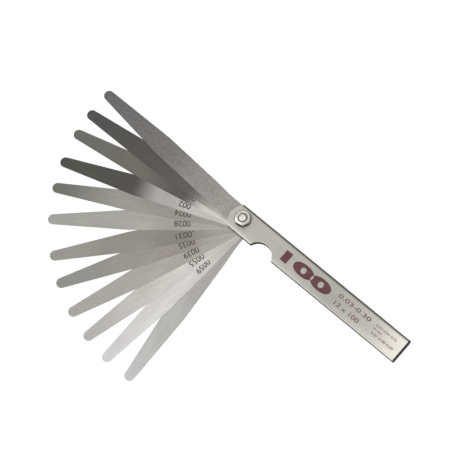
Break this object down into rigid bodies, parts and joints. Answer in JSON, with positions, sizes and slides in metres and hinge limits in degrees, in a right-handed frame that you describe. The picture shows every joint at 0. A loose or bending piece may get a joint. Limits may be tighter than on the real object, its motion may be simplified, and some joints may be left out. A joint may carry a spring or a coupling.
{
  "type": "feeler gauge",
  "caption": "Fan of thin steel gap-measuring blades pivoting on a nut-clamped stud in a folded sheet holder with a thumb notch.",
  "frame": {"origin": "on the pivot axis, at the holder's flat rear face", "axes": "+X along the holder from the pivot to its open end, +Y towards the folded side, +Z through the pivot towards the nut"},
  "size_m": [0.1922, 0.1021, 0.0086],
  "materials": {
    "holder_steel": "satin rolled stainless sheet",
    "fastener_steel": "bright plated",
    "inner_steel": "plain washer steel",
    "blade_steel": "ground spring steel with etched thickness",
    "thin_blade_steel": "bright-rolled spring foil, mirrors its surroundings"
  },
  "bodies": {
    "holder": {"holder": "holder_steel", "pivot_stud": "fastener_steel", "inner_washer_rear": "inner_steel", "inner_washer_front": "inner_steel", "front_washer": "fastener_steel"},
    "lock_nut": {"lock_nut": "fastener_steel"},
    "blade_0_20mm": {"blade_0_20mm": "blade_steel"},
    "blade_0_15mm": {"blade_0_15mm": "blade_steel"},
    "blade_0_14mm": {"blade_0_14mm": "blade_steel"},
    "blade_0_10mm": {"blade_0_10mm": "blade_steel"},
    "blade_0_09mm": {"blade_0_09mm": "blade_steel"},
    "blade_0_08mm": {"blade_0_08mm": "blade_steel"},
    "blade_0_07mm": {"blade_0_07mm": "blade_steel"},
    "blade_0_06mm": {"blade_0_06mm": "blade_steel"},
    "blade_0_05mm": {"blade_0_05mm": "thin_blade_steel"},
    "blade_0_04mm": {"blade_0_04mm": "thin_blade_steel"},
    "blade_0_03mm": {"blade_0_03mm": "thin_blade_steel"},
    "blade_0_30mm": {"blade_0_30mm": "blade_steel"}
  },
  "joints": [
    {"name": "lock_nut_turn", "type": "hinge", "parent": "holder", "child": "lock_nut", "pos_m": [0, 0, 0.0067], "axis": [0, 0, 1], "range_deg": [-20, 90]},
    {"name": "blade_0_20mm_swing", "type": "hinge", "parent": "holder", "child": "blade_0_20mm", "pos_m": [0, 0, 0.0022], "axis": [0, 0, 1], "range_deg": [-99.1, 84.9]},
    {"name": "blade_0_15mm_swing", "type": "hinge", "parent": "holder", "child": "blade_0_15mm", "pos_m": [0, 0, 0.0022], "axis": [0, 0, 1], "range_deg": [-90.3, 93.7]},
    {"name": "blade_0_14mm_swing", "type": "hinge", "parent": "holder", "child": "blade_0_14mm", "pos_m": [0, 0, 0.0022], "axis": [0, 0, 1], "range_deg": [-81.7, 102.3]},
    {"name": "blade_0_10mm_swing", "type": "hinge", "parent": "holder", "child": "blade_0_10mm", "pos_m": [0, 0, 0.0022], "axis": [0, 0, 1], "range_deg": [-73, 111]},
    {"name": "blade_0_09mm_swing", "type": "hinge", "parent": "holder", "child": "blade_0_09mm", "pos_m": [0, 0, 0.0022], "axis": [0, 0, 1], "range_deg": [-63.4, 120.6]},
    {"name": "blade_0_08mm_swing", "type": "hinge", "parent": "holder", "child": "blade_0_08mm", "pos_m": [0, 0, 0.0022], "axis": [0, 0, 1], "range_deg": [-54.7, 129.3]},
    {"name": "blade_0_07mm_swing", "type": "hinge", "parent": "holder", "child": "blade_0_07mm", "pos_m": [0, 0, 0.0022], "axis": [0, 0, 1], "range_deg": [-43.4, 140.6]},
    {"name": "blade_0_06mm_swing", "type": "hinge", "parent": "holder", "child": "blade_0_06mm", "pos_m": [0, 0, 0.0022], "axis": [0, 0, 1], "range_deg": [-33.6, 150.4]},
    {"name": "blade_0_05mm_swing", "type": "hinge", "parent": "holder", "child": "blade_0_05mm", "pos_m": [0, 0, 0.0022], "axis": [0, 0, 1], "range_deg": [-25.3, 158.7]},
    {"name": "blade_0_04mm_swing", "type": "hinge", "parent": "holder", "child": "blade_0_04mm", "pos_m": [0, 0, 0.0022], "axis": [0, 0, 1], "range_deg": [-15.8, 168.2]},
    {"name": "blade_0_03mm_swing", "type": "hinge", "parent": "holder", "child": "blade_0_03mm", "pos_m": [0, 0, 0.0022], "axis": [0, 0, 1], "range_deg": [-8.5, 175.5]},
    {"name": "blade_0_30mm_swing", "type": "hinge", "parent": "holder", "child": "blade_0_30mm", "pos_m": [0, 0, 0.0022], "axis": [0, 0, 1], "range_deg": [-0.6, 183.4]}
  ]
}
